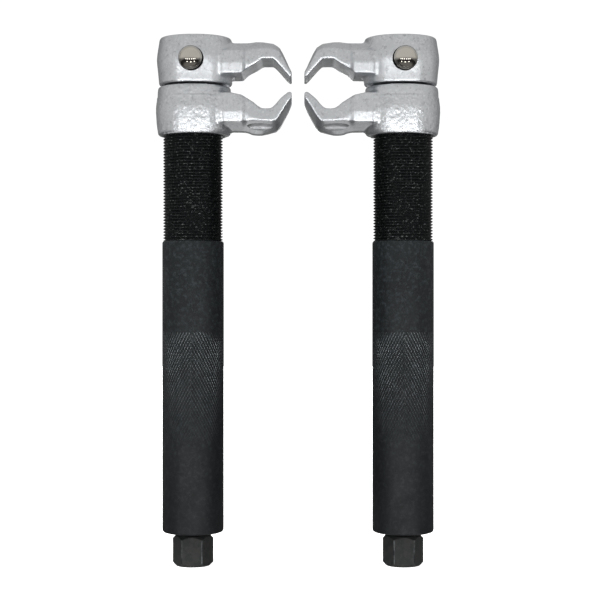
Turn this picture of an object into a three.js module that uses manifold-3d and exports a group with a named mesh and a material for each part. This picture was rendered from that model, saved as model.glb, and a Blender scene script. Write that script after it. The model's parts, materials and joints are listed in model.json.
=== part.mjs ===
// A pair of coil spring compressors, one for each side of a spring, standing on their drive hexes.
// Each one is a black barrel with a lead screw inside it. Turning the hex raises a keyed rod, which
// carries the upper jaw. The lower jaw screws along the fine thread on the outside of the barrel.
// Millimetres, +Z up, floor at z = 0, hooks pointing at each other along X, lock balls facing -Y.
import * as THREE from "three";
import { mergeVertices } from "three/addons/utils/BufferGeometryUtils.js";
import Module from "manifold-3d";

const wasm = await Module();
wasm.setup();

// Where the two tools stand.
const UNIT_X = 70.6; // from the middle to each barrel's axis
const UNIT_Y = 2.55; // sets the axes back, so that the lock balls don't pull the middle forward

// Drive screw and its thrust bearing.
const HEX_ACROSS_FLATS = 24;
const HEX_TOP = 20.4;
const HEX_CHAMFER = 1.6;
const NECK_RADIUS = 9;
const FLANGE = { radius: 15.5, bottom: 27, top: 33 };
const JOURNAL_TOP = 56;
const LEAD_SCREW_RADIUS = 8;
const LEAD_SCREW_TOP = 208;
const BEARING_BORE = 17;
const RACE_RADIUS = 16.2;
const CAGE_CENTRE_Z = 38.85;
const BEARING_BALLS = 6;

// Barrel.
const SLEEVE_RADIUS = 20.6;
const SLEEVE_BOTTOM = 22.4;
const SLEEVE_TOP = 217.4;
const THREAD_RADIUS = 19.7;
const BARREL_TOP = 320;
const BARREL_BORE = 14.5;
const WEB = { bottom: 45.7, top: 52 };
const BUSH_BORE = 16.3;
const BUSH_FLOOR = 299.7;
const GUIDE_SCREW_Z = 209;

// Sliding rod.
const ROD_RADIUS = 14;
const ROD_BOTTOM = 58;
const ROD_SHOULDER = 348.2;
const ROD_TOP = 352.6;
const ROD_THREAD_RADIUS = 11;
const NUT_RADIUS = 11;
const NUT_TOP = 84;
const NUT_PIN_Z = 71;
const KEYWAY = { halfWidth: 2.9, floor: 11.6, bottom: 86, top: 216 };

// Lock ball.
const BALL_RADIUS = 8.2;
const BALL_Y = -21.5;
const BALL_Z = 337.3;

// How many sides stand for a circle, on large and on small pieces.
const ROUND = 40;
const SMALL_ROUND = 28;

// Jaws: how wide the hooks are, and the edge and ridge that every section shares.
const JAW_EDGE = 1.2;
const JAW_RIDGE_HALF = 5;

// Sections of a hook along its length: distance from the barrel's axis, height of the coil seat side,
// height of the outer side at the flanks, height of the outer side at the ridge, half width.
const UPPER_HOOK = [
  [10, 327.6, 344, 350.2, 15.6],
  [16.8, 327.6, 344, 350.2, 15.6],
  [21, 327.6, 344, 350.2, 20.4],
  [33.2, 327.9, 344, 350.2, 20.4],
  [36.2, 330.6, 344.2, 350.2, 18.2],
  [42.9, 334.6, 344.8, 350.6, 19.2],
  [47.2, 337.3, 345, 350.6, 19.3],
  [54.4, 337.3, 344.6, 349.8, 19.3],
  [58.2, 333.4, 343, 347.6, 19.3],
  [62.5, 328, 335.4, 340, 19],
  [64.6, 326.2, 331.6, 335, 18.7],
  [66.2, 325.6, 328.4, 330, 18.2],
];
const LOWER_HOOK = [
  [10, 315.2, 295.8, 291, 15.6],
  [14.4, 315.2, 295.8, 291, 15.6],
  [19, 315.2, 295.8, 291, 20.6],
  [25.5, 315.2, 295.8, 291, 20.6],
  [33.2, 313.6, 296.2, 291, 20.5],
  [37, 311.6, 296.8, 290.2, 18.6],
  [41.1, 308.9, 296.9, 289.2, 19.2],
  [46.8, 304.7, 296.6, 289, 19.3],
  [52, 304.7, 296.2, 290, 19.3],
  [56.2, 308, 296.8, 291.4, 19.3],
  [60.7, 312.8, 303.4, 297.6, 19.1],
  [64.2, 314.8, 309, 304.6, 18.7],
  [66.2, 313.6, 311.6, 309.4, 18.2],
];
const UPPER_COLLAR = { bottom: 321.3, top: 353.4, bore: 14.3 };
const UPPER_COLLAR_SIDE = [
  [17.4, 321.3],
  [17.6, 321.8],
  [22.2, 321.8],
  [22.8, 322.5],
  [23.2, 327.5],
  [24.2, 336.5],
  [24.3, 339],
  [23.9, 343],
  [23, 348.6],
  [22.5, 352],
  [21.8, 353.4],
];
const LOWER_COLLAR = { bottom: 288.4, top: 320.5, bore: 20 };
const LOWER_COLLAR_SIDE = [
  [22.4, 288.4],
  [23.2, 289.3],
  [24.1, 297],
  [24.6, 305.5],
  [23.9, 312],
  [23.4, 319.6],
  [22.8, 320.5],
];

const FINISH = {
  forged: { color: 0xaeb0b2, roughness: 0.42, metalness: 0.85 },
  blackOxide: { color: 0x2c2f30, roughness: 0.55, metalness: 0.6 },
  groundSteel: { color: 0xb8babc, roughness: 0.25, metalness: 0.9 },
  chrome: { color: 0xe4e6e8, roughness: 0.05, metalness: 1 },
  bronze: { color: 0xa9793a, roughness: 0.4, metalness: 0.8 },
  springSteel: { color: 0x5c5f63, roughness: 0.4, metalness: 0.8 },
  rubber: { color: 0x141414, roughness: 0.8, metalness: 0 },
};
const materials = Object.fromEntries(
  Object.entries(FINISH).map(([name, look]) => [name, new THREE.MeshStandardMaterial({ name, ...look })]),
);

// A closed three.js geometry as a manifold-3d solid.
function solid(geometry) {
  const bare = new THREE.BufferGeometry();
  const flat = geometry.index ? geometry.toNonIndexed() : geometry;
  bare.setAttribute("position", flat.getAttribute("position"));
  const merged = mergeVertices(bare, 1e-3);
  return new wasm.Manifold(
    new wasm.Mesh({
      numProp: 3,
      vertProperties: merged.attributes.position.array,
      triVerts: new Uint32Array(merged.index.array),
    }),
  );
}

// A manifold-3d solid as a named mesh.
function pieceMesh(name, body, finish) {
  const data = body.getMesh();
  const geometry = new THREE.BufferGeometry();
  geometry.setAttribute("position", new THREE.BufferAttribute(new Float32Array(data.vertProperties), 3));
  geometry.setIndex(new THREE.BufferAttribute(new Uint32Array(data.triVerts), 1));
  const faceted = geometry.toNonIndexed();
  faceted.computeVertexNormals();
  const mesh = new THREE.Mesh(faceted, materials[finish]);
  mesh.name = name;
  return mesh;
}

// A solid of revolution about Z. The profile is [radius, z] from bottom to top, closed on the axis.
function turned(profile, segments = ROUND) {
  const points = profile.map(([radius, z]) => new THREE.Vector2(radius, z));
  return solid(new THREE.LatheGeometry(points, segments).rotateX(Math.PI / 2));
}

// A round bar about Z.
function bar(radius, bottom, top, segments = ROUND) {
  const profile = [
    [0, bottom],
    [radius, bottom],
    [radius, top],
    [0, top],
  ];
  return turned(profile, segments);
}

// A washer or tube about Z.
function tube(inner, outer, bottom, top, segments = SMALL_ROUND) {
  return bar(outer, bottom, top, segments).subtract(bar(inner, bottom - 1, top + 1, segments));
}

// A round bar along Y.
function crossBar(radius, front, back, z, segments = SMALL_ROUND) {
  const geometry = new THREE.CylinderGeometry(radius, radius, back - front, segments);
  return solid(geometry.translate(0, (front + back) / 2, z));
}

// A block given by its opposite corners.
function block(low, high) {
  const size = high.map((value, axis) => value - low[axis]);
  const middle = high.map((value, axis) => (value + low[axis]) / 2);
  return solid(new THREE.BoxGeometry(...size).translate(...middle));
}

// A hexagonal bar about Z with one flat facing -Y.
function hexBar(acrossFlats, bottom, top) {
  const corner = acrossFlats / Math.sqrt(3);
  const geometry = new THREE.CylinderGeometry(corner, corner, top - bottom, 6);
  geometry.rotateX(Math.PI / 2).rotateZ(Math.PI / 2);
  return solid(geometry.translate(0, 0, (bottom + top) / 2));
}

// A hook whose section changes along X, built as one skin over all its sections.
function hook(sections) {
  const rings = sections.map(([x, seat, flank, ridge, half]) => {
    const up = Math.sign(flank - seat);
    const edge = Math.min(JAW_EDGE, Math.abs(flank - seat) / 3);
    const side = [
      [half - edge, seat],
      [half, seat + up * edge],
      [half, flank - up * edge],
      [half - edge, flank],
      [JAW_RIDGE_HALF, ridge],
    ];
    const otherSide = side.map(([y, z]) => [-y, z]).reverse();
    const ring = [...side, ...otherSide].map(([y, z]) => [x, y, z]);
    return up > 0 ? ring.reverse() : ring;
  });
  const count = rings[0].length;
  const positions = rings.flat(2);
  const index = [];
  for (let section = 0; section + 1 < rings.length; section += 1) {
    for (let corner = 0; corner < count; corner += 1) {
      const a = section * count + corner;
      const b = section * count + ((corner + 1) % count);
      index.push(a, a + count, b, b, a + count, b + count);
    }
  }
  const last = (rings.length - 1) * count;
  for (let corner = 1; corner + 1 < count; corner += 1) {
    index.push(0, corner, corner + 1);
    index.push(last, last + corner + 1, last + corner);
  }
  const geometry = new THREE.BufferGeometry();
  geometry.setAttribute("position", new THREE.Float32BufferAttribute(positions, 3));
  geometry.setIndex(index);
  return solid(geometry);
}

// The collar of a jaw, without its bore.
function collar(side) {
  const [bottom, top] = [side[0][1], side[side.length - 1][1]];
  return turned([[0, bottom], ...side, [0, top]]);
}

function barrel() {
  const outside = [
    [0, SLEEVE_BOTTOM],
    [19.6, SLEEVE_BOTTOM],
    [SLEEVE_RADIUS, SLEEVE_BOTTOM + 1.8],
    [SLEEVE_RADIUS, SLEEVE_TOP - 1.2],
    [THREAD_RADIUS, SLEEVE_TOP],
    [THREAD_RADIUS, BARREL_TOP],
    [0, BARREL_TOP],
  ];
  const hollows = [
    bar(BEARING_BORE, SLEEVE_BOTTOM - 1, WEB.bottom),
    bar(18.3, 23.7, 25.6),
    bar(NECK_RADIUS + 0.4, WEB.bottom - 1, WEB.top + 1),
    bar(BARREL_BORE, WEB.top, BARREL_TOP),
    bar(BUSH_BORE, BUSH_FLOOR, BARREL_TOP + 1),
    crossBar(4.3, BARREL_BORE - 1, SLEEVE_RADIUS + 1, GUIDE_SCREW_Z, 16),
  ];
  return wasm.Manifold.difference([turned(outside), ...hollows]);
}

function driveScrew() {
  const corner = HEX_ACROSS_FLATS / Math.sqrt(3);
  const ends = [
    [0, 0],
    [corner - HEX_CHAMFER, 0],
    [corner, HEX_CHAMFER / 2],
    [corner, HEX_TOP - HEX_CHAMFER / 2],
    [corner - HEX_CHAMFER, HEX_TOP],
    [0, HEX_TOP],
  ];
  return wasm.Manifold.union([
    hexBar(HEX_ACROSS_FLATS, 0, HEX_TOP).intersect(turned(ends)),
    bar(NECK_RADIUS, HEX_TOP - 1, JOURNAL_TOP, SMALL_ROUND),
    bar(FLANGE.radius, FLANGE.bottom, FLANGE.top, SMALL_ROUND),
    bar(LEAD_SCREW_RADIUS, JOURNAL_TOP - 1, LEAD_SCREW_TOP, SMALL_ROUND),
  ]).subtract(bar(2.8, 193.5, LEAD_SCREW_TOP + 1, 12));
}

function screwCirclip() {
  const gap = block([-3, -BEARING_BORE - 3, 23], [3, -10, 26]);
  return tube(14.6, 17.9, 24, 25.3).subtract(gap);
}

function ballCage() {
  const orbit = 13;
  const balls = Array.from({ length: BEARING_BALLS }, (_, number) => {
    const angle = (number / BEARING_BALLS) * 2 * Math.PI;
    const ball = new THREE.SphereGeometry(2.7, 8, 5);
    ball.translate(orbit * Math.cos(angle), orbit * Math.sin(angle), CAGE_CENTRE_Z);
    return solid(ball);
  });
  return wasm.Manifold.union([tube(10.6, 15.6, CAGE_CENTRE_Z - 1.3, CAGE_CENTRE_Z + 1.3, 24), ...balls]);
}

function slideRod() {
  const outside = [
    [0, ROD_BOTTOM],
    [ROD_RADIUS - 0.8, ROD_BOTTOM],
    [ROD_RADIUS, ROD_BOTTOM + 0.8],
    [ROD_RADIUS, ROD_SHOULDER - 0.3],
    [ROD_THREAD_RADIUS, ROD_SHOULDER],
    [ROD_THREAD_RADIUS, ROD_TOP],
    [0, ROD_TOP],
  ];
  const keyway = block(
    [-KEYWAY.halfWidth, KEYWAY.floor, KEYWAY.bottom],
    [KEYWAY.halfWidth, ROD_RADIUS + 1, KEYWAY.top],
  );
  return wasm.Manifold.difference([
    turned(outside),
    bar(NUT_RADIUS + 0.3, ROD_BOTTOM - 1, NUT_TOP + 0.3, SMALL_ROUND),
    bar(9.7, NUT_TOP, 222, SMALL_ROUND),
    keyway,
    crossBar(1.8, -ROD_RADIUS - 1, -9, NUT_PIN_Z, 12),
    crossBar(BALL_RADIUS + 0.2, -ROD_RADIUS - 1, 11.3, BALL_Z),
  ]);
}

function rodNut() {
  const pinHole = crossBar(1.8, -NUT_RADIUS - 1, -7, NUT_PIN_Z, 12);
  return tube(LEAD_SCREW_RADIUS + 0.3, NUT_RADIUS, ROD_BOTTOM + 0.3, NUT_TOP).subtract(pinHole);
}

function guideScrew() {
  const thread = crossBar(4, 14.9, 20.5, GUIDE_SCREW_Z, 16);
  const dog = crossBar(2.5, 12, 15.5, GUIDE_SCREW_Z, 12);
  const socket = crossBar(2.2, 17.5, 22, GUIDE_SCREW_Z, 6);
  return thread.add(dog).subtract(socket);
}

function stopScrew() {
  const head = bar(4.5, 211.6, 215.6, 16);
  const socket = bar(2.3, 213.4, 217, 6);
  return bar(2.5, 194, 212, 12).add(head).subtract(socket);
}

// The upper jaw, with its hook turned to +X or -X. The ball's pocket is always on the front.
function upperJaw(hookTurn) {
  const forging = collar(UPPER_COLLAR_SIDE).add(hook(UPPER_HOOK).rotate([0, 0, hookTurn]));
  const pocket = new THREE.SphereGeometry(BALL_RADIUS + 0.3, 24, 12).translate(0, BALL_Y, BALL_Z);
  return wasm.Manifold.difference([
    forging,
    bar(UPPER_COLLAR.bore, UPPER_COLLAR.bottom - 1, UPPER_COLLAR.top + 1),
    bar(17.4, ROD_SHOULDER, UPPER_COLLAR.top + 1),
    solid(pocket),
    crossBar(BALL_RADIUS + 0.3, BALL_Y, -ROD_RADIUS + 3, BALL_Z),
  ]);
}

function jawNut() {
  const notches = [0, 90].map((turn) => {
    return block([-2, -20, 350.4], [2, 20, 354]).rotate([0, 0, turn]);
  });
  const ring = tube(ROD_THREAD_RADIUS + 0.3, 17, ROD_SHOULDER + 0.3, 352.8);
  return wasm.Manifold.difference([ring, ...notches]);
}

function lowerJaw(hookTurn) {
  const forging = collar(LOWER_COLLAR_SIDE).add(hook(LOWER_HOOK).rotate([0, 0, hookTurn]));
  const bore = [
    [0, LOWER_COLLAR.bottom - 1],
    [LOWER_COLLAR.bore + 2, LOWER_COLLAR.bottom - 1],
    [LOWER_COLLAR.bore, LOWER_COLLAR.bottom + 1],
    [LOWER_COLLAR.bore, LOWER_COLLAR.top - 1],
    [LOWER_COLLAR.bore + 2, LOWER_COLLAR.top + 1],
    [0, LOWER_COLLAR.top + 1],
  ];
  return forging.subtract(turned(bore));
}

function lockBall() {
  return solid(new THREE.SphereGeometry(BALL_RADIUS, 24, 12).translate(0, BALL_Y, BALL_Z));
}

// The coil behind the lock ball, drawn pressed together, with its axis along Y.
function ballSpring() {
  const turns = 3;
  const stepsPerTurn = 8;
  const points = Array.from({ length: turns * stepsPerTurn + 1 }, (_, step) => {
    const angle = (step / stepsPerTurn) * 2 * Math.PI;
    const y = 5.6 + (step / stepsPerTurn) * 1.6;
    return new THREE.Vector3(6 * Math.cos(angle), y, BALL_Z + 6 * Math.sin(angle));
  });
  const circle = new THREE.Path().absarc(0, 0, 0.6, 0, 2 * Math.PI);
  const wire = new THREE.Shape(circle.getPoints(4).slice(0, -1));
  const path = new THREE.CatmullRomCurve3(points);
  const settings = { steps: turns * stepsPerTurn, extrudePath: path, bevelEnabled: false };
  return solid(new THREE.ExtrudeGeometry(wire, settings));
}

// Every piece of one tool, as a group standing at its own axis.
function compressor(side) {
  const facing = side === "left" ? 1 : -1;
  const hookTurn = facing > 0 ? 0 : 180;
  const pieces = [
    ["barrel", barrel(), "blackOxide"],
    ["guide_bush", tube(14.35, 16, 300, 318), "bronze"],
    ["rod_wiper", tube(14.3, 16, 318.3, 320.8), "rubber"],
    ["guide_screw", guideScrew(), "springSteel"],
    ["drive_screw", driveScrew(), "blackOxide"],
    ["screw_circlip", screwCirclip(), "springSteel"],
    ["end_washer", tube(NECK_RADIUS + 0.4, 16.6, 25.6, 26.7), "groundSteel"],
    ["race_lower", tube(NECK_RADIUS + 0.3, RACE_RADIUS, 33.3, 35.8), "groundSteel"],
    ["ball_cage", ballCage(), "bronze"],
    ["race_upper", tube(NECK_RADIUS + 0.5, RACE_RADIUS, 41.9, 45.4), "groundSteel"],
    ["slide_rod", slideRod(), "groundSteel"],
    ["rod_nut", rodNut(), "bronze"],
    ["nut_pin", crossBar(1.5, -13.5, -8.8, NUT_PIN_Z, 12), "springSteel"],
    ["stop_washer", tube(2.8, 9.3, 208.3, 211.3, 24), "groundSteel"],
    ["stop_screw", stopScrew(), "springSteel"],
    ["upper_jaw", upperJaw(hookTurn), "forged"],
    ["jaw_nut", jawNut(), "blackOxide"],
    ["lower_jaw", lowerJaw(hookTurn), "forged"],
    ["lock_ball", lockBall(), "chrome"],
    ["ball_spring", ballSpring(), "springSteel"],
  ];
  const tool = new THREE.Group();
  tool.name = `${side}_compressor`;
  tool.position.set(-facing * UNIT_X, UNIT_Y, 0);
  for (const [name, body, finish] of pieces) {
    tool.add(pieceMesh(`${side}_${name}`, body, finish));
  }
  return tool;
}

const group = new THREE.Group();
group.name = "coil_spring_compressor_pair";
group.add(compressor("left"), compressor("right"));
export default group;
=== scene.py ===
"""The looks of a pair of coil spring compressors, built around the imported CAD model.

Each piece is drawn once in millimetres, standing on its own axis with its hook towards +X, and then placed
on both tools. The jaws are mirrored in X for the right tool. The other pieces aren't, so that the thread
stays right-handed.
"""

import itertools
import json
import math

import bmesh
import bpy
import numpy as np
from mathutils import Matrix, Vector, noise


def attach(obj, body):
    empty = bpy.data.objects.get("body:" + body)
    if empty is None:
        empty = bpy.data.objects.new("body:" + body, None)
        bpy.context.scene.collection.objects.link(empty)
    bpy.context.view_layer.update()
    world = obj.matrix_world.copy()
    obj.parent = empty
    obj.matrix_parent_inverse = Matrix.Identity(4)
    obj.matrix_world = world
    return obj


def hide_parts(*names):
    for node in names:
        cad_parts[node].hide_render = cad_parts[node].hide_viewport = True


MM = 0.001
COLUMNS = 126  # sides of the barrel: an even number, so that the knurl's diamonds close up around it
ROUND = 128  # sides of other turned pieces
HEX_COLUMNS = 180  # sides of the drive screw, a multiple of the hexagon's six

# Barrel.
SLEEVE_RADIUS = 20.6
SLEEVE_BOTTOM = 22.4
SLEEVE_TOP = 217.4
THREAD_MAJOR = 19.95
THREAD_MINOR = 18.75
THREAD_PITCH = 2.0
# One turn of the thread's profile, as a share of the pitch and the radius there.
THREAD_FORM = [(0.0, THREAD_MINOR), (0.12, THREAD_MINOR), (0.47, THREAD_MAJOR), (0.65, THREAD_MAJOR)]
BARREL_TOP = 320.0
BARREL_CHAMFER = 1.2
KNURL_BOTTOM = 79.0
KNURL_ROWS = 41
KNURL_ROW_HEIGHT = 1.94
KNURL_TOP = KNURL_BOTTOM + KNURL_ROWS * KNURL_ROW_HEIGHT
KNURL_DEPTH = 0.24
KNURL_FADE_ROWS = 5  # rows at each end of the band in which the grooves run out
KNURL_PEAK = 0.62  # how much of the way from a peak to a groove is at full height
GUIDE_SCREW_Z = 209.0

# Drive screw.
HEX_ACROSS_FLATS = 24.0
HEX_TOP = 20.4
HEX_END_RADIUS = 11.4
HEX_CORNER_RADIUS = 13.65
HEX_CHAMFER_STEPS = 16
HEX_CHAMFER_STEP = 0.16

# Rod and ball.
ROD_RADIUS = 14.0
ROD_BOTTOM = 58.0
ROD_SHOULDER = 348.2
ROD_TOP = 352.6
BALL_RADIUS = 8.2
BALL_Y = -21.5
BALL_Z = 337.3
POCKET_RADIUS = BALL_RADIUS + 0.12

# Jaws: sections along the hook, as distance from the axis, height of the coil seat side, height of the
# forging's parting line, height of the outer side at the flanks and at the ridge, and half width.
UPPER_HOOK = [
    (8.0, 327.6, 335.0, 342.8, 350.0, 15.6),
    (16.8, 327.6, 335.0, 342.8, 350.0, 15.6),
    (20.0, 327.6, 335.0, 342.8, 350.0, 19.8),
    (22.4, 327.6, 335.0, 342.8, 350.0, 20.6),
    (33.2, 327.9, 335.0, 343.0, 350.0, 20.6),
    (34.6, 329.2, 335.0, 343.1, 350.0, 19.6),
    (35.8, 330.2, 334.8, 343.3, 350.0, 18.0),
    (37.2, 331.3, 334.4, 343.5, 350.0, 17.8),
    (39.2, 332.6, 334.8, 344.0, 350.3, 18.4),
    (42.9, 334.5, 336.0, 344.4, 350.8, 19.2),
    (47.0, 337.3, 338.7, 344.8, 350.7, 19.4),
    (54.2, 337.3, 338.9, 344.4, 349.6, 19.4),
    (58.2, 333.2, 335.9, 342.4, 347.0, 19.3),
    (60.7, 330.3, 333.2, 337.8, 342.6, 19.2),
    (62.9, 327.7, 330.2, 333.8, 338.0, 19.0),
    (64.9, 325.8, 328.0, 330.2, 333.4, 18.8),
    (66.4, 325.4, 326.8, 328.4, 330.6, 18.4),
]
LOWER_HOOK = [
    (8.0, 315.2, 302.6, 295.8, 291.0, 15.6),
    (14.2, 315.2, 302.6, 295.8, 291.0, 15.6),
    (17.6, 315.2, 302.6, 295.8, 291.0, 19.8),
    (20.0, 315.2, 302.6, 295.8, 291.0, 20.8),
    (26.0, 315.2, 302.6, 295.8, 291.0, 20.8),
    (33.2, 313.6, 302.6, 295.9, 290.9, 20.7),
    (34.8, 312.8, 302.2, 296.2, 290.8, 19.7),
    (36.4, 311.9, 301.0, 296.5, 290.5, 18.6),
    (38.0, 310.9, 299.4, 296.8, 290.0, 18.5),
    (39.6, 309.9, 298.4, 296.9, 289.3, 18.8),
    (41.1, 308.9, 297.9, 296.9, 289.0, 19.2),
    (44.2, 306.2, 297.5, 296.7, 288.8, 19.4),
    (46.8, 304.7, 297.3, 296.5, 288.9, 19.4),
    (51.6, 304.7, 297.0, 296.2, 290.0, 19.4),
    (53.6, 305.4, 296.9, 296.1, 290.6, 19.4),
    (56.0, 307.8, 297.6, 296.6, 291.2, 19.3),
    (58.4, 310.8, 301.6, 299.8, 293.6, 19.2),
    (60.7, 312.9, 305.4, 303.4, 297.6, 19.1),
    (64.4, 315.8, 311.2, 309.2, 304.6, 18.8),
    (66.4, 315.4, 313.4, 312.0, 309.6, 18.4),
]
HOOK_SIDES = 8
HOOK_STEPS = 6  # rings from one section to the next
DRAFT = math.tan(math.radians(6.5))  # how much a hook's sides lean in, away from the parting line
RIDGE_HALF = 4.5  # half the width of the flat along a hook's ridge
# Collars, as radius and height.
UPPER_COLLAR = [
    (0.0, 321.3), (17.4, 321.3), (17.6, 321.8), (22.2, 321.8), (22.8, 322.5), (23.2, 327.5), (23.7, 332.0),
    (24.2, 336.5), (24.3, 339.0), (23.9, 343.0), (23.0, 348.6), (22.5, 352.0), (21.8, 353.4), (0.0, 353.4),
]
LOWER_COLLAR = [
    (0.0, 288.4), (22.4, 288.4), (23.2, 289.3), (24.1, 297.0), (24.5, 303.0), (24.6, 305.5), (24.3, 309.0),
    (23.9, 312.0), (23.7, 317.0), (23.4, 319.6), (22.8, 320.5), (17.6, 320.5), (17.4, 321.0), (0.0, 321.0),
]
COLLAR_STRETCH = {"upper_jaw": 3.5, "lower_jaw": 2.0}  # how much longer a collar is on its hook's side
VOXEL = 0.45
FILLET = 1.3  # what the forging's inside corners are rounded to
SOFTENING_ROUNDS = 8
ARM_START = 21  # distance from the axis where a lower hook leaves its collar
TRIM_LINE_Z = 313.6
TRIM_STEP = 0.34  # how far the lower collar stands out below its trim line
TRIM_SLOPE = 0.6
SCOOP_X, SCOOP_Y, SCOOP_Z = 45.4, 13.4, 292.1  # middle of the hollow on each side of a lower hook's back
SCOOP_RADII = (10.2, 4.8, 3.5)
# Where the hollows' painted shade reaches.
SCOOP_SHADE_RADII = (10.3, 4.9, 3.6)
MIRRORED = ("upper_jaw", "lower_jaw")

# Stage and camera, in metres. Brightness 1 shows as pure white.
WHITE = 1.05
FLOOR_HALF = 3.0
FLOOR_GREY = 0.9
FLAG_GREY = 0.2
FLAG_FRONT, FLAG_BACK, FLAG_BOTTOM, FLAG_TOP = -0.03, 0.2, 0.04, 0.29
ROOM_COLOUR = (0.565, 0.562, 0.555, 1)
ROOM_BACK = 0.4  # the room's brightness in each direction, as a share of that in front
ROOM_LOW = 0.15
ROOM_OVERHEAD = 0.85
ROOM_BELOW = 1.1
SUN_DIRECTION = (0.2, 0.35, -1)
SUN_STRENGTH = 3.5
SUN_SOFTNESS = 50  # degrees
# Lamps, as position, size and watts.
PANELS = [((x, -2.4, -0.42), (0.46, 0.46), 5.0) for x in (-2.3, -1.38, -0.46, 0.46, 1.38, 2.3)]
LOW_PANELS = [((x, -0.8, -0.45), (0.2, 0.14), 1.2) for x in (-0.7, 0.0, 0.7)]
BACK_PANEL = ((0, 2.2, 0.5), (0.5, 0.5), 3.0)
LAMP_TARGET = (0, 0, 0.3)
SENSOR_WIDTH = 36
FRAME_WIDTH = 0.4036  # how much of the width at the tools' axes the camera takes in
CAMERA_X = 0.0013
CAMERA_HEIGHT = 0.178
CAMERA_DISTANCE = 1.0


# ---------------------------------------------------------------- mesh helpers


def new_object(name, data):
    made = bpy.data.objects.new(name, data)
    bpy.context.scene.collection.objects.link(made)
    return made


def mesh_object(name, points, faces):
    """An object from points in millimetres and faces, welded, with its normals facing out."""
    data = bpy.data.meshes.new(name)
    data.from_pydata([tuple(point) for point in points], [], faces)
    work = bmesh.new()
    work.from_mesh(data)
    bmesh.ops.remove_doubles(work, verts=work.verts, dist=0.0008)
    bmesh.ops.dissolve_degenerate(work, edges=work.edges, dist=0.0005)
    bmesh.ops.recalc_face_normals(work, faces=work.faces)
    work.to_mesh(data)
    work.free()
    return new_object(name, data)


def apply_modifiers(piece):
    """The piece with its modifiers made part of its mesh."""
    bpy.context.view_layer.update()
    evaluated = piece.evaluated_get(bpy.context.evaluated_depsgraph_get())
    data = bpy.data.meshes.new_from_object(evaluated)
    piece.modifiers.clear()
    old, piece.data = piece.data, data
    bpy.data.meshes.remove(old)
    return piece


def combine(piece, others, operation):
    """Joins or cuts a piece with other closed pieces, which are used up."""
    for other in others:
        change = piece.modifiers.new(operation.lower(), "BOOLEAN")
        change.operation = operation
        change.solver = "EXACT"
        change.object = other
    apply_modifiers(piece)
    for other in others:
        bpy.data.objects.remove(other)
    return piece


def smooth(piece, angle=32):
    piece.data.shade_smooth()
    piece.data.set_sharp_from_angle(angle=math.radians(angle))
    return piece


def paint(piece, finish_of):
    """Picks each face's finish, as a place in the piece's list of finishes."""
    for face in piece.data.polygons:
        face.material_index = finish_of(face.center, face.normal)
    return piece


def ring_faces(rows, columns):
    """Quads between successive closed rings of points."""
    faces = []
    for row in range(rows - 1):
        for column in range(columns):
            beside = (column + 1) % columns
            faces.append((
                row * columns + column, row * columns + beside,
                (row + 1) * columns + beside, (row + 1) * columns + column,
            ))
    return faces


def turned_skin(profile, columns):
    """Points and faces of a profile of (radius, z) turned about Z."""
    angles = [2 * math.pi * column / columns for column in range(columns)]
    points = [(r * math.cos(a), r * math.sin(a), z) for r, z in profile for a in angles]
    return points, ring_faces(len(profile), columns)


def add_turned(points, faces, profile, columns):
    """Adds the skin of a turned profile to lists of points and faces."""
    skin_points, skin_faces = turned_skin(profile, columns)
    faces += [tuple(corner + len(points) for corner in face) for face in skin_faces]
    points += skin_points


def turned(name, profile, columns=ROUND):
    return mesh_object(name, *turned_skin(profile, columns))


def bar(name, radius, bottom, top, columns=ROUND):
    return turned(name, [(0, bottom), (radius, bottom), (radius, top), (0, top)], columns)


def tube(name, inner, outer, bottom, top, chamfer=0.25):
    profile = [
        (inner, bottom + chamfer), (inner + chamfer, bottom), (outer - chamfer, bottom),
        (outer, bottom + chamfer), (outer, top - chamfer), (outer - chamfer, top),
        (inner + chamfer, top), (inner, top - chamfer), (inner, bottom + chamfer),
    ]
    return turned(name, profile)


def cross_bar(name, radius, front, back, z, columns=48):
    """A round bar along Y."""
    piece = bar(name, radius, front, back, columns)
    piece.data.transform(Matrix.Translation((0, 0, z)) @ Matrix.Rotation(-math.pi / 2, 4, "X"))
    return piece


def block(name, low, high):
    corners = list(itertools.product(*zip(low, high)))
    faces = [(0, 1, 3, 2), (4, 6, 7, 5), (0, 4, 5, 1), (2, 3, 7, 6), (0, 2, 6, 4), (1, 5, 7, 3)]
    return mesh_object(name, corners, faces)


def ball(name, radius, centre, squash=(1, 1, 1), rings=48):
    profile = [
        (radius * math.sin(math.pi * k / rings), -radius * math.cos(math.pi * k / rings))
        for k in range(rings + 1)
    ]
    piece = turned(name, profile, 2 * rings)
    piece.data.transform(Matrix.Translation(centre) @ Matrix.Diagonal((*squash, 1)))
    return piece


# ---------------------------------------------------------------- jaws


def hook(name, sections):
    """The skin of a hook, with a draft on both sides of its parting line and a ridge along its back."""
    rings = []
    for start, end in zip(sections, sections[1:]):
        for step in range(HOOK_STEPS):
            share = step / HOOK_STEPS
            rings.append([a + (b - a) * share for a, b in zip(start, end)])
    rings.append(list(sections[-1]))
    points = []
    for x, seat, parting, flank, ridge, half in rings:
        half_seat = half - abs(parting - seat) * DRAFT
        half_flank = half - abs(parting - flank) * DRAFT
        side = [(half_seat, seat), (half, parting), (half_flank, flank), (RIDGE_HALF, ridge)]
        section = side + [(-y, z) for y, z in reversed(side)]
        points += [(x, y, z) for y, z in section]
    faces = ring_faces(len(rings), HOOK_SIDES)
    faces += [tuple(range(HOOK_SIDES)), tuple(range(len(points) - HOOK_SIDES, len(points)))]
    return mesh_object(name, points, faces)


def remesh(piece):
    change = piece.modifiers.new("remesh", "REMESH")
    change.mode = "VOXEL"
    change.voxel_size = VOXEL
    change.adaptivity = 0
    return apply_modifiers(piece)


def grow(piece, distance):
    change = piece.modifiers.new("grow", "DISPLACE")
    change.strength = distance
    change.mid_level = 0
    return apply_modifiers(piece)


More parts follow.
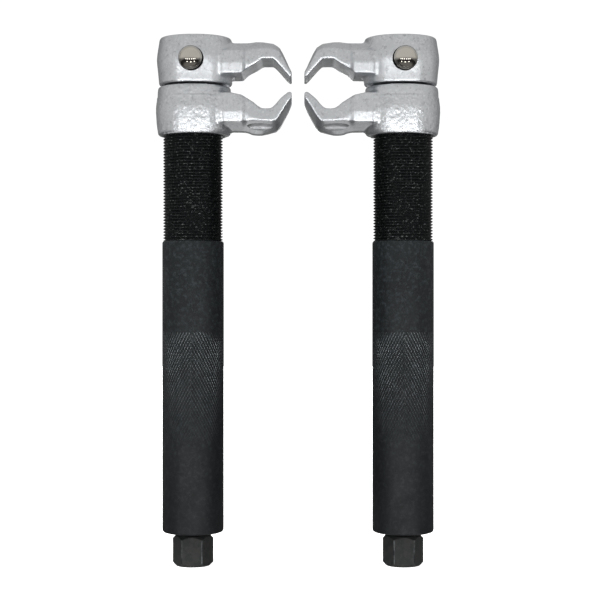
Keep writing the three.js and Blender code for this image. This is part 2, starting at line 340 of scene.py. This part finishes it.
def soften(piece):
    change = piece.modifiers.new("soften", "SMOOTH")
    change.factor = 0.5
    change.iterations = SOFTENING_ROUNDS
    return apply_modifiers(piece)


def forging(name, collar, sections):
    """Collar and hook as one forged body, with rounded inside corners."""
    body = turned(name, collar)
    for vertex in body.data.vertices:
        if vertex.co.x > 0.01:
            vertex.co.x += COLLAR_STRETCH[name]
    arm = hook(name + "_arm", sections)
    joined = bmesh.new()
    joined.from_mesh(body.data)
    joined.from_mesh(arm.data)
    joined.to_mesh(body.data)
    joined.free()
    bpy.data.objects.remove(arm)
    for distance in (FILLET, -FILLET):
        remesh(body)
        grow(body, distance)
    return soften(remesh(body))


def roughen(piece, height_at):
    """Moves each point of a forging out or in, by height_at(point) in millimetres."""
    vertices = piece.data.vertices
    points = np.empty(len(vertices) * 3, np.float32)
    normals = np.empty(len(vertices) * 3, np.float32)
    vertices.foreach_get("co", points)
    vertices.foreach_get("normal", normals)
    heights = [height_at(Vector(point)) for point in points.reshape(-1, 3)]
    vertices.foreach_set("co", points + normals * np.repeat(heights, 3))
    piece.data.update()
    return piece


def forged_skin(point):
    """Slight waviness of a shot-blasted forging."""
    return 0.04 * noise.noise(point / 6) + 0.015 * noise.noise(point / 1.5)


def trimmed_skin(point):
    """The lower collar: smooth above a wavy trim line, and pitted below it."""
    height = forged_skin(point)
    if point.x > ARM_START:
        return height
    line = TRIM_LINE_Z + 0.9 * noise.noise(Vector((math.atan2(point.y, point.x) * 5, 0, 3)))
    below = min(max((line - point.z) / TRIM_SLOPE, 0), 1)
    pits = 0.11 * noise.noise(point / 2.2) + 0.08 * noise.noise(point / 1.1)
    return height + below * (TRIM_STEP + pits)


def upper_jaw():
    jaw = roughen(forging("upper_jaw", UPPER_COLLAR, UPPER_HOOK), forged_skin)
    cutters = [
        bar("bore", 14.3, 300, 360),
        turned("nut_recess", [
            (0, ROD_SHOULDER), (17.4, ROD_SHOULDER), (17.4, 352.6), (19.2, 354.4), (0, 354.4),
        ]),
        ball("pocket", POCKET_RADIUS, (0, BALL_Y, BALL_Z)),
        ball("worn_edge", POCKET_RADIUS + 0.08, (0.45, BALL_Y, BALL_Z - 0.35)),
        cross_bar("way_in", POCKET_RADIUS, BALL_Y, -8, BALL_Z, 96),
    ]
    return smooth(combine(jaw, cutters, "DIFFERENCE"))


def lower_jaw():
    jaw = roughen(forging("lower_jaw", LOWER_COLLAR, LOWER_HOOK), trimmed_skin)
    bore = turned("bore", [
        (0, 287), (22, 287), (22, 288), (20.05, 290), (20.05, 319.4), (21, 320.4), (21, 323), (0, 323),
    ])
    scoops = [ball(f"scoop_{y}", 1, (SCOOP_X, y, SCOOP_Z), SCOOP_RADII) for y in (-SCOOP_Y, SCOOP_Y)]
    combine(jaw, [bore, *scoops], "DIFFERENCE")

    # Painted shade: faces inside the hollows get the darker finish.
    def finish_of(centre, normal):
        from_middle = (centre.x - SCOOP_X, abs(centre.y) - SCOOP_Y, centre.z - SCOOP_Z)
        reach = Vector([distance / radius for distance, radius in zip(from_middle, SCOOP_SHADE_RADII)])
        return 1 if reach.length < 1 else 0

    return smooth(paint(jaw, finish_of))


# ---------------------------------------------------------------- barrel and screw


def knurl_skin(base):
    """The diamond knurl: grooves along both diagonals of a grid, shallower towards the band's ends."""
    points, faces = [], []

    def add(column, row, depth):
        fade = min(row, KNURL_ROWS - row, KNURL_FADE_ROWS) / KNURL_FADE_ROWS
        worn = 0.5 + 0.5 * row / KNURL_ROWS + 0.3 * noise.noise(Vector((column * 0.9, row * 0.35, 7)))
        radius = SLEEVE_RADIUS - depth * fade * worn
        angle = 2 * math.pi * column / COLUMNS
        z = KNURL_BOTTOM + row * KNURL_ROW_HEIGHT
        points.append((radius * math.cos(angle), radius * math.sin(angle), z))
        return base + len(points) - 1

    for row in range(KNURL_ROWS):
        for column in range(COLUMNS):
            corners = [(column, row), (column + 1, row), (column + 1, row + 1), (column, row + 1)]
            grooves = [corner for corner in corners if sum(corner) % 2 == 0]
            peaks = [corner for corner in corners if sum(corner) % 2 == 1]
            for peak in peaks:
                top = add(*peak, 0)
                edge = []
                for groove in grooves:
                    column_there, row_there = (p + (g - p) * KNURL_PEAK for p, g in zip(peak, groove))
                    edge.append(add(column_there, row_there, 0))
                deep = [add(*groove, KNURL_DEPTH) for groove in grooves]
                faces.append((top, edge[0], edge[1]))
                faces.append((edge[0], deep[0], deep[1], edge[1]))
    return points, faces


def thread_skin(base, bottom, top):
    """A V thread between two flat rings at its root."""
    count = (math.ceil((top - bottom) / THREAD_PITCH) + 2) * COLUMNS
    points = []
    for step in range(count + 1):
        angle = 2 * math.pi * step / COLUMNS
        for share, radius in THREAD_FORM:
            z = bottom + THREAD_PITCH * (step / COLUMNS - 1 + share)
            if not bottom < z < top:
                radius = THREAD_MINOR
            points.append((radius * math.cos(angle), radius * math.sin(angle), min(max(z, bottom), top)))
    faces = []
    for step in range(count):
        for part in range(4):
            here, beside = step * 4 + part, (step + 1) * 4 + part
            above = here + 1 if part < 3 else (step + COLUMNS) * 4
            beside_above = beside + 1 if part < 3 else (step + 1 + COLUMNS) * 4
            if beside_above < len(points):
                faces.append((base + here, base + beside, base + beside_above, base + above))
    return points, faces


def barrel():
    thread_top = BARREL_TOP - BARREL_CHAMFER
    inside_and_foot = [
        (THREAD_MINOR, thread_top), (THREAD_MINOR - 1, BARREL_TOP), (16.3, BARREL_TOP), (16.3, 299.7),
        (14.5, 299.7), (14.5, 52), (9.4, 52), (9.4, 45.7), (17, 45.7), (17, 25.6), (18.3, 25.6),
        (18.3, 23.7), (17, 23.7), (17, 22.9), (17.5, SLEEVE_BOTTOM), (18.9, SLEEVE_BOTTOM),
        (19.8, 22.7), (20.4, 23.3), (SLEEVE_RADIUS, 24.2), (SLEEVE_RADIUS, KNURL_BOTTOM),
    ]
    shoulder = [
        (SLEEVE_RADIUS, KNURL_TOP), (SLEEVE_RADIUS, SLEEVE_TOP - 1.2), (20.4, SLEEVE_TOP - 0.6),
        (19.8, SLEEVE_TOP), (THREAD_MINOR, SLEEVE_TOP),
    ]
    points, faces = [], []
    add_turned(points, faces, inside_and_foot, COLUMNS)
    add_turned(points, faces, shoulder, COLUMNS)
    knurl_points, knurl_faces = knurl_skin(len(points))
    points += knurl_points
    thread_points, thread_faces = thread_skin(len(points), SLEEVE_TOP, thread_top)
    points += thread_points
    faces += knurl_faces + thread_faces
    body = mesh_object("barrel", points, faces)
    hole = cross_bar("hole", 4.25, 13, 22, GUIDE_SCREW_Z)
    smooth(combine(body, [hole], "DIFFERENCE"), 22)

    def finish_of(centre, normal):
        """1 on the thread, and 2 on the knurl's flanks that are turned down and to the front, which get a painted
        highlight.
        """
        if centre.z > SLEEVE_TOP:
            return 1
        in_knurl = KNURL_BOTTOM < centre.z < KNURL_TOP and math.hypot(centre.x, centre.y) > THREAD_MAJOR
        around = normal.y * centre.x - normal.x * centre.y
        faces_the_front = around * centre.x < 0
        return 2 if in_knurl and normal.z < -0.1 and faces_the_front else 0

    return paint(body, finish_of)


def hex_radius(angle):
    """Distance from the axis to a hexagon's side, with one flat facing the front."""
    off = (angle + math.pi / 2 + math.pi / 6) % (math.pi / 3) - math.pi / 6
    return min(HEX_ACROSS_FLATS / 2 / math.cos(off), HEX_CORNER_RADIUS)


def drive_screw():
    chamfer = [step * HEX_CHAMFER_STEP for step in range(HEX_CHAMFER_STEPS)]
    heights = chamfer + [HEX_TOP / 2] + [HEX_TOP - height for height in reversed(chamfer)]
    points = []
    for z in heights:
        reach = HEX_END_RADIUS + min(z, HEX_TOP - z)
        for column in range(HEX_COLUMNS):
            angle = 2 * math.pi * column / HEX_COLUMNS
            radius = min(hex_radius(angle), reach)
            points.append((radius * math.cos(angle), radius * math.sin(angle), z))
    faces = ring_faces(len(heights), HEX_COLUMNS)
    shaft = [
        (9.8, HEX_TOP), (9, HEX_TOP + 0.7), (9, 27), (15.2, 27), (15.5, 27.3), (15.5, 32.7), (15.2, 33),
        (9, 33), (9, 55.5), (8.5, 56), (8, 56.5), (8, 207.4), (7.4, 208), (2.8, 208), (2.8, 193.5),
        (0, 193.5),
    ]
    foot = [(0, 1.2), (2.4, 1.2), (3.6, 0)]
    add_turned(points, faces, shaft, HEX_COLUMNS)
    add_turned(points, faces, foot, HEX_COLUMNS)
    hex_top_ring = (len(heights) - 1) * HEX_COLUMNS
    shaft_ring = len(heights) * HEX_COLUMNS
    foot_ring = shaft_ring + (len(shaft) + len(foot) - 1) * HEX_COLUMNS
    for column in range(HEX_COLUMNS):
        beside = (column + 1) % HEX_COLUMNS
        for lower, upper in ((hex_top_ring, shaft_ring), (0, foot_ring)):
            faces.append((lower + column, lower + beside, upper + beside, upper + column))
    screw = smooth(mesh_object("drive_screw", points, faces), 18)

    def finish_of(centre, normal):
        """1 on the hexagon's rubbed corners."""
        on_corner = math.hypot(centre.x, centre.y) > HEX_CORNER_RADIUS - 0.08
        return 1 if on_corner and centre.z < HEX_TOP else 0

    return paint(screw, finish_of)


def slide_rod():
    rod = turned("slide_rod", [
        (11.3, ROD_BOTTOM), (ROD_RADIUS - 0.8, ROD_BOTTOM), (ROD_RADIUS, ROD_BOTTOM + 0.8),
        (ROD_RADIUS, ROD_SHOULDER - 0.3), (ROD_RADIUS - 0.3, ROD_SHOULDER), (11, ROD_SHOULDER),
        (11, ROD_TOP - 0.8), (10.2, ROD_TOP), (0, ROD_TOP), (0, 222), (9.7, 222), (9.7, 84.3), (11.3, 84.3),
        (11.3, ROD_BOTTOM),
    ])
    cutters = [
        block("keyway", (-2.9, 11.6, 86), (2.9, 15, 216)),
        cross_bar("pin_hole", 1.8, -15, -9, 71, 32),
        cross_bar("ball_bore", BALL_RADIUS + 0.2, -15, 11.3, BALL_Z, 96),
        turned("centre_drill", [(0, 349.6), (2.6, 353.5), (0, 353.5)], 48),
    ]
    return smooth(combine(rod, cutters, "DIFFERENCE"), 25)


def jaw_nut():
    ring = tube("jaw_nut", 11.3, 17, 348.5, 352.8, chamfer=0.5)
    slots = [
        block("slot_a", (-2, -20, 350.4), (2, 20, 354)),
        block("slot_b", (-20, -2, 350.4), (20, 2, 354)),
    ]
    return smooth(combine(ring, slots, "DIFFERENCE"), 25)


def screw_circlip():
    ring = tube("screw_circlip", 14.6, 17.9, 24, 25.3, chamfer=0.1)
    lugs = []
    cutters = [block("gap", (-3, -20, 23), (3, -10, 26))]
    for x in (-4.6, 4.6):
        lugs.append(ball(f"lug_{x}", 1, (x, -14.6, 24.65), (2, 2, 0.64)))
        hole = bar(f"lug_hole_{x}", 0.7, 23, 26, 24)
        hole.data.transform(Matrix.Translation((x, -14.4, 0)))
        cutters.append(hole)
    combine(ring, lugs, "UNION")
    return smooth(combine(ring, cutters, "DIFFERENCE"), 25)


def guide_screw():
    screw = cross_bar("guide_screw", 4, 14.9, 20.4, GUIDE_SCREW_Z)
    dog = cross_bar("dog", 2.5, 12, 15.5, GUIDE_SCREW_Z)
    socket = cross_bar("socket", 2.2, 17.5, 22, GUIDE_SCREW_Z, 6)
    combine(screw, [dog], "UNION")
    return smooth(combine(screw, [socket], "DIFFERENCE"), 25)


def lock_ball():
    return smooth(ball("lock_ball", BALL_RADIUS, (0, BALL_Y, BALL_Z), rings=56), 60)


def end_washer():
    return smooth(tube("end_washer", 9.4, 16.6, 25.6, 26.7))


def rod_wiper():
    return smooth(tube("rod_wiper", 14.1, 16, 318.3, 320.8, chamfer=0.5))


def guide_bush():
    return smooth(tube("guide_bush", 14.35, 16, 300, 318))


# ---------------------------------------------------------------- materials


def linear(r, g, b):
    """A colour given as 0-255 display values, as the linear colour that shaders use."""

    def channel(value):
        value /= 255
        return value / 12.92 if value <= 0.04045 else ((value + 0.055) / 1.055) ** 2.4

    return (channel(r), channel(g), channel(b), 1)


class Surface:
    """A Principled material built up from layers of noise in object space."""

    def __init__(self, name, colour, metallic, roughness, specular=0.5):
        self.material = bpy.data.materials.new(name)
        self.material.use_nodes = True
        self.tree = self.material.node_tree
        self.shader = self.tree.nodes["Principled BSDF"]
        self.shader.inputs["Metallic"].default_value = metallic
        self.shader.inputs["Base Color"].default_value = colour
        self.shader.inputs["Roughness"].default_value = roughness
        self.shader.inputs["Specular IOR Level"].default_value = specular
        self.point = self.node("ShaderNodeTexCoord").outputs["Object"]
        self.base = colour
        self.colour = None
        self.normal = None

    def node(self, kind, **settings):
        made = self.tree.nodes.new(kind)
        for key, value in settings.items():
            setattr(made, key, value)
        return made

    def link(self, source, target):
        self.tree.links.new(source, target)

    def noise(self, size_mm, detail=3, stretch=(1, 1, 1), rough=0.55):
        """Noise whose blotches are about size_mm across."""
        mapping = self.node("ShaderNodeMapping")
        self.link(self.point, mapping.inputs["Vector"])
        mapping.inputs["Scale"].default_value = [s * 0.5 / (size_mm * MM) for s in stretch]
        texture = self.node("ShaderNodeTexNoise")
        self.link(mapping.outputs["Vector"], texture.inputs["Vector"])
        texture.inputs["Scale"].default_value = 1
        texture.inputs["Detail"].default_value = detail
        texture.inputs["Roughness"].default_value = rough
        return texture.outputs["Fac"]

    def spread(self, source, low, high, start=0.0, end=1.0):
        """The source's range from low to high, as the range from start to end."""
        change = self.node("ShaderNodeMapRange")
        change.inputs["From Min"].default_value = low
        change.inputs["From Max"].default_value = high
        change.inputs["To Min"].default_value = start
        change.inputs["To Max"].default_value = end
        self.link(source, change.inputs["Value"])
        return change.outputs["Result"]

    def tint(self, source, low, high, colour, amount):
        """Mixes a colour in, from none where the source is low to the full amount where it is high."""
        mix = self.node("ShaderNodeMix", data_type="RGBA")
        scale = self.node("ShaderNodeMath", operation="MULTIPLY")
        scale.inputs[1].default_value = amount
        self.link(self.spread(source, low, high), scale.inputs[0])
        self.link(scale.outputs[0], mix.inputs["Factor"])
        if self.colour is None:
            mix.inputs["A"].default_value = self.base
        else:
            self.link(self.colour, mix.inputs["A"])
        mix.inputs["B"].default_value = colour
        self.colour = mix.outputs["Result"]
        self.link(self.colour, self.shader.inputs["Base Color"])

    def tint_by_height(self, low_mm, high_mm, colour, amount):
        """Mixes a colour in, from none at one height to the full amount at the other."""
        parts = self.node("ShaderNodeSeparateXYZ")
        self.link(self.point, parts.inputs[0])
        self.tint(parts.outputs["Z"], low_mm * MM, high_mm * MM, colour, amount)

    def vary_roughness(self, source, low, high):
        """Roughness from low to high, over the middle of a noise's range."""
        self.link(self.spread(source, 0.3, 0.7, low, high), self.shader.inputs["Roughness"])

    def bump(self, height, depth_mm, strength=1.0):
        bump = self.node("ShaderNodeBump")
        bump.inputs["Strength"].default_value = strength
        bump.inputs["Distance"].default_value = depth_mm * MM
        self.link(height, bump.inputs["Height"])
        if self.normal is not None:
            self.link(self.normal, bump.inputs["Normal"])
        self.normal = bump.outputs["Normal"]
        self.link(self.normal, self.shader.inputs["Normal"])


def forged_steel():
    surface = Surface("forged_steel", linear(226, 229, 232), 1.0, 0.4)
    patches = surface.noise(9, detail=4)
    grain = surface.noise(0.8, detail=2)
    specks = surface.noise(1.3, detail=4, rough=0.7)
    surface.tint(patches, 0.35, 0.7, linear(206, 209, 213), 0.8)
    surface.tint(grain, 0.5, 0.75, linear(246, 248, 250), 0.7)
    surface.tint(specks, 0.54, 0.7, linear(150, 152, 155), 0.55)
    surface.vary_roughness(patches, 0.3, 0.41)
    surface.bump(surface.noise(2.2), 0.05, 0.7)
    surface.bump(specks, 0.09, 0.9)
    return surface.material


def hollow_painted_shade():
    """The hollows on a lower hook's back, darker than the rest of the forging as painted shade."""
    surface = Surface("hollow_painted_shade", linear(170, 172, 174), 1.0, 0.5)
    surface.tint(surface.noise(2.5, detail=4), 0.4, 0.65, linear(196, 198, 201), 0.8)
    surface.vary_roughness(surface.noise(3), 0.42, 0.56)
    surface.bump(surface.noise(1.3, detail=4), 0.08, 0.9)
    return surface.material


def black_oxide():
    surface = Surface("black_oxide", linear(27, 31, 33), 0.2, 0.55, specular=0.3)
    streaks = surface.noise(3, stretch=(1, 1, 0.12))
    specks = surface.noise(1.3, detail=4, rough=0.7)
    blotches = surface.noise(2.6, detail=3)
    surface.tint(surface.noise(14, detail=4), 0.35, 0.7, linear(20, 23, 25), 0.8)
    surface.tint(streaks, 0.55, 0.8, linear(42, 46, 47), 0.5)
    surface.tint(blotches, 0.45, 0.65, linear(13, 15, 17), 0.7)
    surface.tint(specks, 0.48, 0.66, linear(60, 66, 69), 0.5)
    # Painted shade: darker towards the bottom, from 200 mm down to 40 mm.
    surface.tint_by_height(200, 40, linear(6, 9, 12), 0.65)
    surface.vary_roughness(surface.noise(5), 0.46, 0.62)
    surface.bump(specks, 0.07, 0.8)
    return surface.material


def oiled_thread():
    surface = Surface("oiled_thread", linear(36, 39, 40), 0.8, 0.26)
    specks = surface.noise(0.8, detail=2, rough=0.6)
    surface.tint(specks, 0.58, 0.7, linear(160, 162, 162), 0.5)
    surface.vary_roughness(surface.noise(1.5), 0.18, 0.4)
    surface.bump(surface.noise(0.8, detail=2), 0.06, 0.8)
    return surface.material


def knurl_wear_and_glint():
    """Bright bare metal, partly wear and partly a painted highlight, growing darker towards the knurl's foot."""
    surface = Surface("knurl_wear_and_glint", linear(96, 100, 102), 0.8, 0.4)
    surface.tint(surface.noise(4, detail=3), 0.4, 0.65, linear(60, 64, 66), 0.8)
    surface.tint_by_height(142, 92, linear(28, 32, 34), 0.9)
    surface.vary_roughness(surface.noise(2), 0.32, 0.5)
    surface.bump(surface.noise(0.8, detail=2), 0.03, 0.7)
    return surface.material


def worn_oxide():
    surface = Surface("worn_oxide", linear(84, 87, 88), 0.8, 0.34)
    surface.tint(surface.noise(3, detail=4), 0.42, 0.58, linear(30, 33, 35), 0.9)
    surface.vary_roughness(surface.noise(2), 0.26, 0.45)
    surface.bump(surface.noise(0.8, detail=2), 0.04, 0.7)
    return surface.material


def hex_oxide():
    surface = Surface("hex_oxide", linear(32, 34, 34), 0.0, 0.5, specular=0.15)
    surface.tint(surface.noise(2, detail=4), 0.45, 0.6, linear(48, 49, 47), 0.7)
    surface.vary_roughness(surface.noise(2), 0.32, 0.52)
    surface.bump(surface.noise(1.0, detail=2, stretch=(1, 1, 4)), 0.04, 0.7)
    return surface.material


def chrome():
    surface = Surface("chrome", linear(222, 217, 208), 1.0, 0.05)
    surface.tint(surface.noise(6), 0.5, 0.8, linear(196, 190, 178), 0.5)
    # Painted reflection: the ball's lower part is darkened, standing in for the dark surroundings it would
    # reflect.
    surface.tint_by_height(BALL_Z - 0.4, BALL_Z - 1.8, linear(96, 93, 88), 0.9)
    surface.vary_roughness(surface.noise(2), 0.03, 0.08)
    return surface.material


def ground_steel():
    surface = Surface("ground_steel", linear(204, 205, 206), 1.0, 0.26)
    rings = surface.noise(2, stretch=(0.1, 0.1, 3))
    surface.tint(rings, 0.45, 0.75, linear(176, 177, 179), 0.6)
    surface.vary_roughness(rings, 0.2, 0.34)
    surface.bump(rings, 0.003, 0.4)
    return surface.material


def bronze():
    surface = Surface("bronze", linear(186, 148, 92), 1.0, 0.36)
    surface.tint(surface.noise(3), 0.45, 0.75, linear(150, 112, 64), 0.6)
    surface.vary_roughness(surface.noise(1.5), 0.28, 0.45)
    surface.bump(surface.noise(0.6), 0.02, 0.6)
    return surface.material


def spring_steel():
    surface = Surface("spring_steel", linear(118, 120, 124), 1.0, 0.35)
    surface.tint(surface.noise(2), 0.45, 0.75, linear(84, 86, 90), 0.6)
    surface.vary_roughness(surface.noise(1.2), 0.28, 0.46)
    surface.bump(surface.noise(0.5), 0.015, 0.6)
    return surface.material


def rubber():
    surface = Surface("rubber", linear(34, 34, 34), 0.0, 0.7)
    surface.tint(surface.noise(1.5), 0.5, 0.8, linear(50, 50, 49), 0.6)
    surface.vary_roughness(surface.noise(1), 0.6, 0.8)
    surface.bump(surface.noise(0.4), 0.03, 0.6)
    return surface.material


# ---------------------------------------------------------------- assembly

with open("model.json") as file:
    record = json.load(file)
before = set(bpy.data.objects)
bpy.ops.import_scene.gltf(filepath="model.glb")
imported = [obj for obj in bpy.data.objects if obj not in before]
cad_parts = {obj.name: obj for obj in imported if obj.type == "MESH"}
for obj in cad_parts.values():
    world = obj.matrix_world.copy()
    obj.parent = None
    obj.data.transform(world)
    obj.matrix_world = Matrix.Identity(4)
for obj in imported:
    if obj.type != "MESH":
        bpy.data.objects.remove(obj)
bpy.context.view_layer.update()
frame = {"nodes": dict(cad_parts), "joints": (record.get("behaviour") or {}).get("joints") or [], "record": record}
axis_of = {
    joint["name"].split("_")[0]: Vector(joint["pos_m"])
    for joint in frame["joints"]
    if joint["name"].endswith("_drive_spin")
}
finishes = {
    finish.__name__: finish()
    for finish in (
        forged_steel, hollow_painted_shade, black_oxide, oiled_thread, knurl_wear_and_glint, worn_oxide, hex_oxide, chrome,
        ground_steel, bronze, spring_steel, rubber,
    )
}
slot_of_node = {entry["node"]: entry["material_slot"] for entry in frame["record"]["subparts"]}
body_of_node = {
    node: body for body, nodes in frame["record"]["behaviour"]["bodies"].items() for node in nodes
}

# What is drawn for each node, and the finishes it gets.
drawn = {
    "barrel": (barrel, "black_oxide", "oiled_thread", "knurl_wear_and_glint"),
    "drive_screw": (drive_screw, "hex_oxide", "worn_oxide"),
    "slide_rod": (slide_rod, "ground_steel"),
    "upper_jaw": (upper_jaw, "forged_steel"),
    "lower_jaw": (lower_jaw, "forged_steel", "hollow_painted_shade"),
    "jaw_nut": (jaw_nut, "black_oxide"),
    "lock_ball": (lock_ball, "chrome"),
    "guide_screw": (guide_screw, "spring_steel"),
    "screw_circlip": (screw_circlip, "spring_steel"),
    "end_washer": (end_washer, "ground_steel"),
    "rod_wiper": (rod_wiper, "rubber"),
    "guide_bush": (guide_bush, "bronze"),
}


def place(side, node, model, its_finishes):
    """A copy of a modelled piece on one tool, standing for that tool's CAD node."""
    name = f"{side}_{node}"
    piece = new_object(name + "_look", model.data.copy())
    mirrored = side == "right" and node in MIRRORED
    along_x = -MM if mirrored else MM
    piece.data.transform(Matrix.Translation(axis_of[side]) @ Matrix.Diagonal((along_x, MM, MM, 1)))
    if mirrored:
        piece.data.flip_normals()
    chosen = [face.material_index for face in piece.data.polygons]
    piece.data.materials.clear()
    for finish in its_finishes:
        piece.data.materials.append(finishes[finish])
    piece.data.polygons.foreach_set("material_index", chosen)
    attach(piece, body_of_node[name])
    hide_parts(name)


replaced = set()
for node, (model_of, *its_finishes) in drawn.items():
    model = model_of()
    for side in ("left", "right"):
        place(side, node, model, its_finishes)
        replaced.add(f"{side}_{node}")
    bpy.data.objects.remove(model)

for node, cad in frame["nodes"].items():
    if node not in replaced:
        cad.data.materials.clear()
        cad.data.materials.append(finishes[slot_of_node[node]])


# ---------------------------------------------------------------- stage, light and camera


def plain_material(name, grey):
    material = bpy.data.materials.new(name)
    material.use_nodes = True
    shader = material.node_tree.nodes["Principled BSDF"]
    shader.inputs["Base Color"].default_value = (grey, grey, grey, 1)
    shader.inputs["Roughness"].default_value = 0.9
    return material


def card(name, corners, grey):
    """A flat plain sheet."""
    data = bpy.data.meshes.new(name)
    data.from_pydata(corners, [], [(0, 1, 2, 3)])
    data.materials.append(plain_material(name, grey))
    sheet = new_object(name, data)
    return sheet


def floor():
    """Plain white, and so bright that it shows no shadows. It leaves the light on the tools alone."""
    corners = [(x * FLOOR_HALF, y * FLOOR_HALF, 0) for x, y in ((-1, -1), (1, -1), (1, 1), (-1, 1))]
    sheet = card("floor", corners, FLOOR_GREY)
    shader = sheet.data.materials[0].node_tree.nodes["Principled BSDF"]
    shader.inputs["Emission Color"].default_value = (1, 1, 1, 1)
    shader.inputs["Emission Strength"].default_value = WHITE
    sheet.visible_diffuse = False
    sheet.visible_glossy = False
    sheet.visible_shadow = False


def flag():
    """A dark sheet between the tools. The camera doesn't see it, but it dims their inner sides."""
    corners = [
        (0, FLAG_FRONT, FLAG_BOTTOM), (0, FLAG_BACK, FLAG_BOTTOM),
        (0, FLAG_BACK, FLAG_TOP), (0, FLAG_FRONT, FLAG_TOP),
    ]
    sheet = card("flag", corners, FLAG_GREY)
    sheet.visible_camera = False
    sheet.visible_shadow = False


def studio_world():
    """White for the camera. The tools see a grey room: dim behind, dark low down, bright underneath."""
    world = bpy.data.worlds.new("studio")
    bpy.context.scene.world = world
    world.use_nodes = True
    tree = world.node_tree

    def ramp(source, start, end, low, high):
        spread = tree.nodes.new("ShaderNodeMapRange")
        spread.interpolation_type = "SMOOTHSTEP"
        for label, value in (("From Min", start), ("From Max", end), ("To Min", low), ("To Max", high)):
            spread.inputs[label].default_value = value
        tree.links.new(source, spread.inputs["Value"])
        return spread.outputs["Result"]

    def combined(operation, first, second):
        made = tree.nodes.new("ShaderNodeMath")
        made.operation = operation
        tree.links.new(first, made.inputs[0])
        tree.links.new(second, made.inputs[1])
        return made.outputs[0]

    direction = tree.nodes.new("ShaderNodeTexCoord")
    parts = tree.nodes.new("ShaderNodeSeparateXYZ")
    tree.links.new(direction.outputs["Generated"], parts.inputs[0])
    # Y and Z of the direction looked in run from -1 to 1.
    upper_part = ramp(parts.outputs["Z"], -0.26, -0.22, ROOM_LOW, 1)
    front = ramp(parts.outputs["Y"], 0.0, 0.8, 1, ROOM_BACK)
    overhead = ramp(parts.outputs["Z"], 0.2, 0.6, 0, ROOM_OVERHEAD)
    underneath = ramp(parts.outputs["Z"], -0.8, -0.45, ROOM_BELOW, 0)
    walls = combined("MULTIPLY", upper_part, combined("MAXIMUM", front, overhead))
    room = tree.nodes["Background"]
    room.inputs["Color"].default_value = ROOM_COLOUR
    tree.links.new(combined("MAXIMUM", underneath, walls), room.inputs["Strength"])
    white = tree.nodes.new("ShaderNodeBackground")
    white.inputs["Color"].default_value = (1, 1, 1, 1)
    white.inputs["Strength"].default_value = WHITE
    seen = tree.nodes.new("ShaderNodeLightPath")
    mix = tree.nodes.new("ShaderNodeMixShader")
    tree.links.new(seen.outputs["Is Camera Ray"], mix.inputs["Fac"])
    tree.links.new(room.outputs[0], mix.inputs[1])
    tree.links.new(white.outputs[0], mix.inputs[2])
    tree.links.new(mix.outputs[0], tree.nodes["World Output"].inputs["Surface"])


def aim_lamp(holder, direction):
    holder.rotation_euler = direction.to_track_quat("-Z", "Y").to_euler()


def overhead_sun():
    """A soft sun that lights matt surfaces but isn't seen in shiny ones."""
    lamp = bpy.data.lights.new("overhead", "SUN")
    lamp.energy = SUN_STRENGTH
    lamp.angle = math.radians(SUN_SOFTNESS)
    holder = new_object("overhead", lamp)
    aim_lamp(holder, Vector(SUN_DIRECTION))
    holder.visible_glossy = False


def panel_light(name, position, size, power):
    """A rectangular lamp, turned towards the jaws."""
    lamp = bpy.data.lights.new(name, "AREA")
    lamp.shape = "RECTANGLE"
    lamp.size, lamp.size_y = size
    lamp.energy = power
    holder = new_object(name, lamp)
    holder.location = position
    aim_lamp(holder, Vector(LAMP_TARGET) - Vector(position))


floor()
flag()
studio_world()
overhead_sun()
for number, panel in enumerate(PANELS):
    panel_light(f"panel_{number}", *panel)
for number, panel in enumerate(LOW_PANELS):
    panel_light(f"low_panel_{number}", *panel)
panel_light("back_panel", *BACK_PANEL)

camera_data = bpy.data.cameras.new("camera")
camera_data.sensor_width = SENSOR_WIDTH
camera_data.lens = SENSOR_WIDTH * CAMERA_DISTANCE / FRAME_WIDTH
camera = new_object("camera", camera_data)
camera.location = (CAMERA_X, axis_of["left"].y - CAMERA_DISTANCE, CAMERA_HEIGHT)
camera.rotation_euler = (math.pi / 2, 0, 0)
bpy.context.scene.camera = camera
bpy.context.scene.view_settings.view_transform = "Standard"
